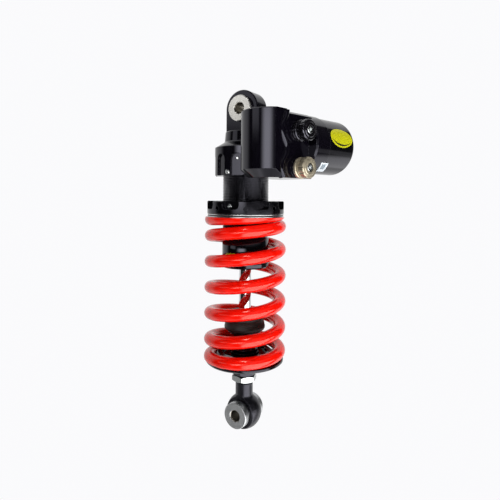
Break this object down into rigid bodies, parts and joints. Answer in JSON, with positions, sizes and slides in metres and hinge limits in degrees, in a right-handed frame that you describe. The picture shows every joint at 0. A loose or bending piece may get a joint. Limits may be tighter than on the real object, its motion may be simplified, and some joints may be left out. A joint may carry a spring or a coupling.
{
  "type": "rear shock absorber",
  "caption": "Motorcycle rear shock absorber: coil spring over a threaded damper, gas reservoir with adjuster knobs beside the head, and a bolt eye at each end.",
  "frame": {"origin": "centre of the upper eye, on the bolt axis", "axes": "+Z along the shock from the lower eye to the upper eye, +Y along both eye bores, the reservoir on the +X side"},
  "size_m": [0.1359, 0.1199, 0.3358],
  "materials": {
    "anodised_black": "satin black anodised",
    "rubber_black": "matte",
    "nylon_black": "matte",
    "spring_red": "gloss powder coat",
    "hard_chrome": "polished",
    "zinc_plate": "bright zinc, turned",
    "plain_steel": "machined",
    "bronze": "plain bearing bronze",
    "anodised_gold": "satin pale gold anodised"
  },
  "bodies": {
    "damper": {"head": "anodised_black", "upper_bush": "bronze", "damper_tube": "anodised_black", "tube_seal": "rubber_black", "seal_head": "anodised_black", "seal_head_seal": "rubber_black", "seal_head_clip": "plain_steel", "rod_bush": "bronze", "rod_seal": "rubber_black", "rod_wiper": "rubber_black", "top_out_bumper": "rubber_black", "grub_screws": "zinc_plate", "bleed_screw": "zinc_plate", "reservoir_tube": "anodised_black", "reservoir_cap": "anodised_black", "reservoir_cap_seal": "rubber_black", "reservoir_clip": "plain_steel", "gas_valve": "zinc_plate", "gas_valve_cap": "rubber_black", "high_speed_valve": "plain_steel", "low_speed_valve": "plain_steel"},
    "upper_pin": {"upper_spacers": "zinc_plate"},
    "gas_piston": {"floating_piston": "plain_steel", "floating_piston_band": "rubber_black"},
    "high_speed_adjuster": {"high_speed_knob": "anodised_black", "high_speed_screw": "zinc_plate"},
    "low_speed_adjuster": {"low_speed_knob": "anodised_gold", "low_speed_screw": "zinc_plate"},
    "spring_perch": {"thrust_races": "zinc_plate", "thrust_cage": "nylon_black", "spring": "spring_red"},
    "preload_collar": {"preload_ring": "anodised_black", "ring_lock_screw": "zinc_plate"},
    "rod": {"piston_rod": "hard_chrome", "piston": "plain_steel", "piston_band": "nylon_black", "rebound_shims": "plain_steel", "compression_shims": "plain_steel", "piston_nut": "plain_steel", "bump_stop": "rubber_black", "bump_stop_cup": "anodised_black", "seat_tower": "anodised_black", "spring_seat": "anodised_black", "rod_foot": "anodised_black", "lock_nut": "zinc_plate", "lower_eye": "anodised_black", "bearing_race": "plain_steel", "bearing_clips": "plain_steel"},
    "rebound_ring": {"rebound_adjuster": "anodised_black"},
    "needle": {"rebound_needle": "plain_steel"},
    "lower_ball": {"bearing_ball": "plain_steel"},
    "lower_pin": {"lower_spacers": "zinc_plate"}
  },
  "joints": [
    {"name": "preload_travel", "type": "slide", "parent": "damper", "child": "spring_perch", "axis": [0, 0, -1], "range_m": [-0.006, 0.006]},
    {"name": "preload_turn", "type": "hinge", "parent": "spring_perch", "child": "preload_collar", "pos_m": [0, 0, -0.0973], "axis": [0, 0, -1], "range_deg": [-1441, 1441]},
    {"name": "damper_stroke", "type": "slide", "parent": "spring_perch", "child": "rod", "axis": [0, 0, 1], "range_m": [0, 0.05], "stiffness_N_per_m": 90000, "springref_m": -0.009, "deforming": ["spring", "bump_stop"]},
    {"name": "gas_piston_travel", "type": "slide", "parent": "damper", "child": "gas_piston", "axis": [0.2419, 0.9703, 0], "range_m": [0, 0.0035]},
    {"name": "high_speed_turn", "type": "hinge", "parent": "damper", "child": "high_speed_adjuster", "pos_m": [0.07631, -0.02528, -0.029], "axis": [0.9703, -0.2419, 0], "range_deg": [-360, 360]},
    {"name": "low_speed_turn", "type": "hinge", "parent": "damper", "child": "low_speed_adjuster", "pos_m": [0.07631, -0.02528, -0.0615], "axis": [0.9703, -0.2419, 0], "range_deg": [-450, 450]},
    {"name": "upper_pin_turn", "type": "hinge", "parent": "damper", "child": "upper_pin", "pos_m": [0, 0, 0], "axis": [0, 1, 0], "continuous": true},
    {"name": "rebound_turn", "type": "hinge", "parent": "rod", "child": "rebound_ring", "pos_m": [0, 0, -0.2575], "axis": [0, 0, 1], "range_deg": [-541, 541]},
    {"name": "needle_travel", "type": "slide", "parent": "rod", "child": "needle", "axis": [0, 0, 1], "range_m": [-0.00075, 0.00075]},
    {"name": "lower_ball_tilt", "type": "hinge", "parent": "rod", "child": "lower_ball", "pos_m": [0, 0, -0.3], "axis": [1, 0, 0], "range_deg": [-5, 5]},
    {"name": "lower_pin_turn", "type": "hinge", "parent": "lower_ball", "child": "lower_pin", "pos_m": [0, 0, -0.3], "axis": [0, 1, 0], "continuous": true}
  ],
  "couplings": [
    {"joint": "preload_turn", "follows": "preload_travel", "rad_per_m": 4188.8},
    {"joint": "gas_piston_travel", "follows": "damper_stroke", "ratio": 0.065188},
    {"joint": "rebound_turn", "follows": "needle_travel", "rad_per_m": 12566}
  ]
}
